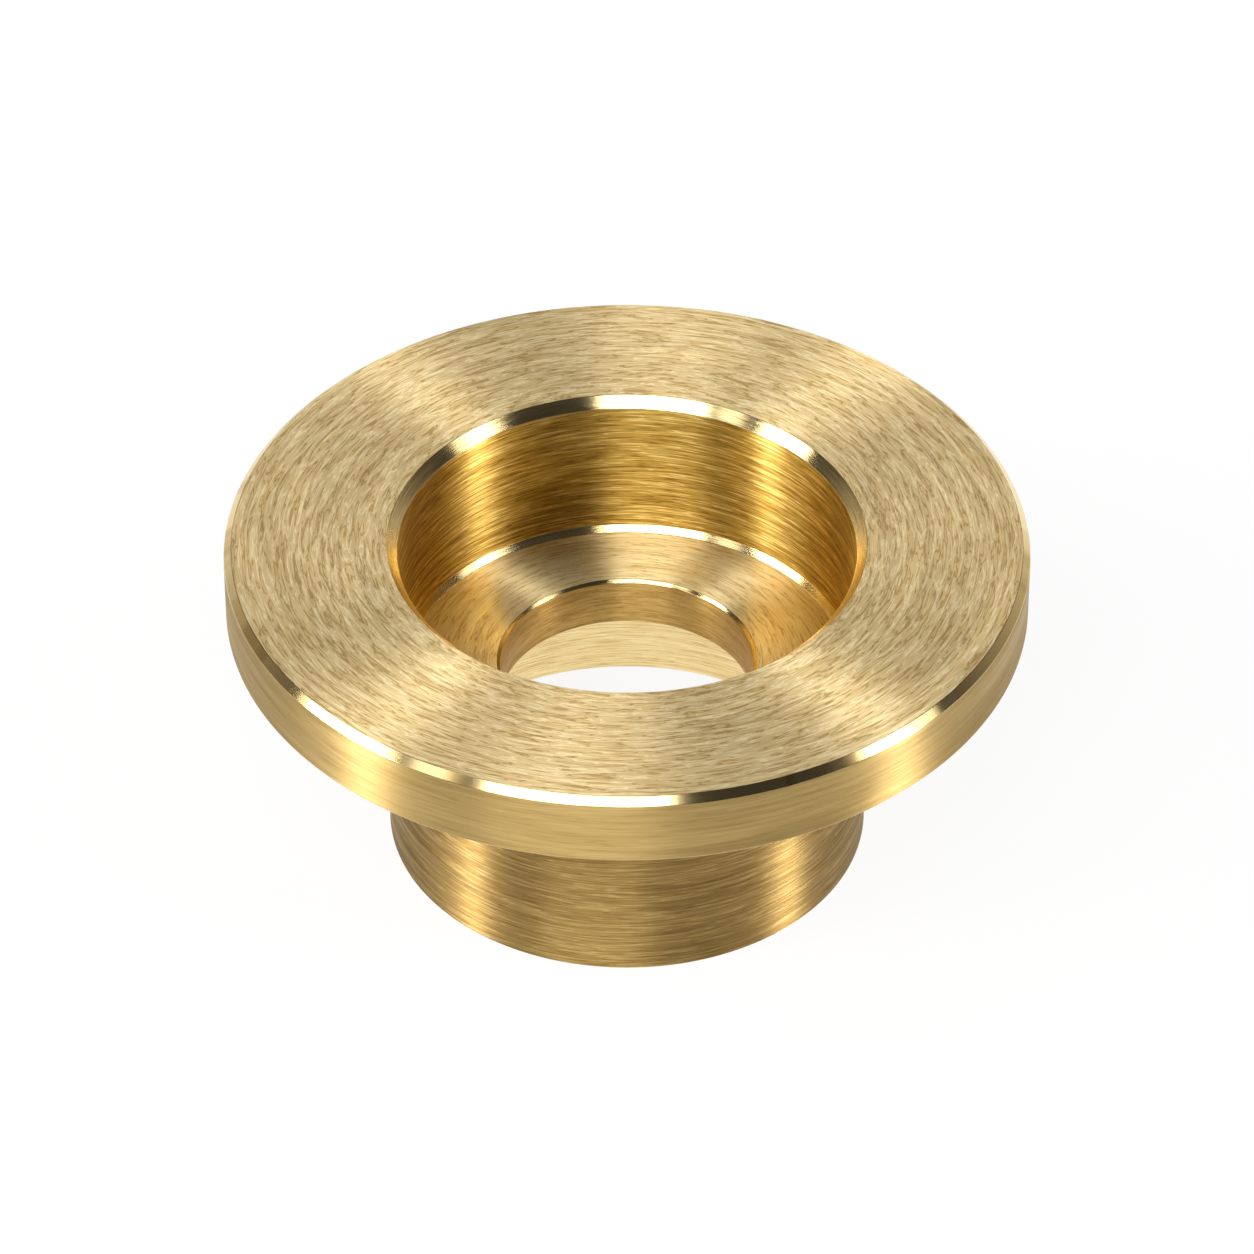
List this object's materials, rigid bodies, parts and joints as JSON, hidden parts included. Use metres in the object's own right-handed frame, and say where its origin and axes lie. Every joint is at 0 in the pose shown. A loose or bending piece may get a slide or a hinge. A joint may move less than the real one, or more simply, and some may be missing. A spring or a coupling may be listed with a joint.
{
  "type": "flanged bush",
  "caption": "Turned brass flanged bush: a round flange on a thin-walled boss, bored as a bearing seat from each end, with a web and central bore between.",
  "frame": {"origin": "centre of the boss's lower face, on the turning axis", "axes": "+Z along the turning axis, up from the boss through the flange"},
  "size_m": [0.0386, 0.0386, 0.0171],
  "materials": {
    "turned_brass": "turned brass, with fine circular tool marks and bright chamfers"
  },
  "bodies": {
    "root": {"flanged_bush": "turned_brass"}
  },
  "joints": []
}
